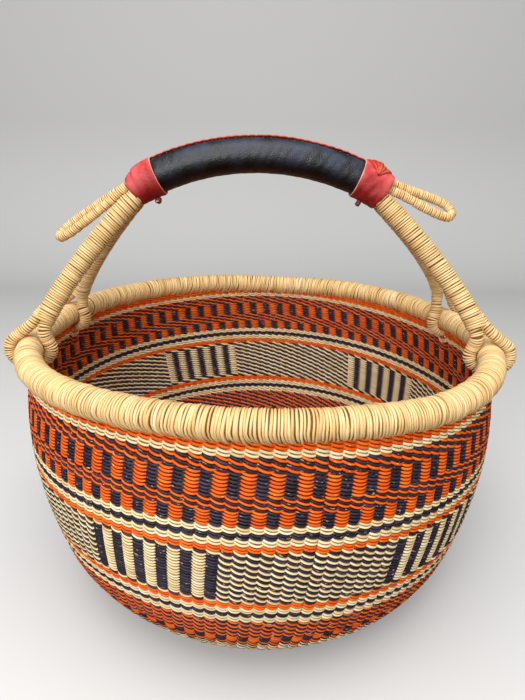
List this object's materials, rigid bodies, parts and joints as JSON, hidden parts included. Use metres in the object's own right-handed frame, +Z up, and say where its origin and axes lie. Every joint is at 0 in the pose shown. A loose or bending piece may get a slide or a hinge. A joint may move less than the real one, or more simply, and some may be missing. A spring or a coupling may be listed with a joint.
{
  "type": "round woven basket with arched handle",
  "caption": "Round-bottomed basket twined from dyed grass, with a straw-bound rim and an arched, leather-gripped carrying handle looped round the rim.",
  "frame": {"origin": "on the table, under the middle of the basket's flat foot", "axes": "+Z up, +X along the handle's line to the right in the picture, -Y towards the camera"},
  "size_m": [0.4252, 0.4106, 0.3949],
  "materials": {
    "natural_weave": "woven dyed grass, natural straw colour",
    "rust_weave": "woven dyed grass, rust red with natural and navy",
    "navy_weave": "woven dyed grass, dark navy with natural",
    "grass_core": "bundled dry grass",
    "straw_binding": "split straw wound side by side, slightly glossy",
    "black_leather": "smooth black goat leather, soft sheen",
    "red_leather": "brick red goat leather, matte",
    "lace_leather": "orange red leather lace"
  },
  "bodies": {
    "basket": {"base_start": "natural_weave", "base_band": "rust_weave", "lower_check_band": "rust_weave", "lower_stripe_band": "natural_weave", "panel_band": "navy_weave", "upper_stripe_band": "natural_weave", "upper_check_band": "rust_weave", "base_ring": "rust_weave", "inner_base_face": "rust_weave", "inner_foot_face": "rust_weave", "inner_belly_face": "rust_weave", "inner_wall_face": "rust_weave", "inner_mouth_face": "rust_weave", "stakes": "grass_core", "rim_core": "grass_core", "rim_binding": "straw_binding"},
    "handle": {"left_hairpin": "grass_core", "right_hairpin": "grass_core", "grip_wrap": "straw_binding", "grip_sleeve": "black_leather", "left_cuff": "red_leather", "right_cuff": "red_leather", "grip_lacing": "lace_leather", "lace_knot": "lace_leather", "left_cuff_tie": "lace_leather", "right_cuff_tie": "lace_leather", "front_left_leg_winding": "straw_binding", "front_left_rim_loop": "straw_binding", "rear_left_leg_winding": "straw_binding", "rear_left_rim_loop": "straw_binding", "front_right_leg_winding": "straw_binding", "front_right_rim_loop": "straw_binding", "rear_right_leg_winding": "straw_binding", "rear_right_rim_loop": "straw_binding"}
  },
  "joints": [
    {"name": "handle_rock", "type": "hinge", "parent": "basket", "child": "handle", "pos_m": [0, 0, 0.2205], "axis": [1, 0, 0], "range_deg": [-1.5, 1.5]}
  ]
}
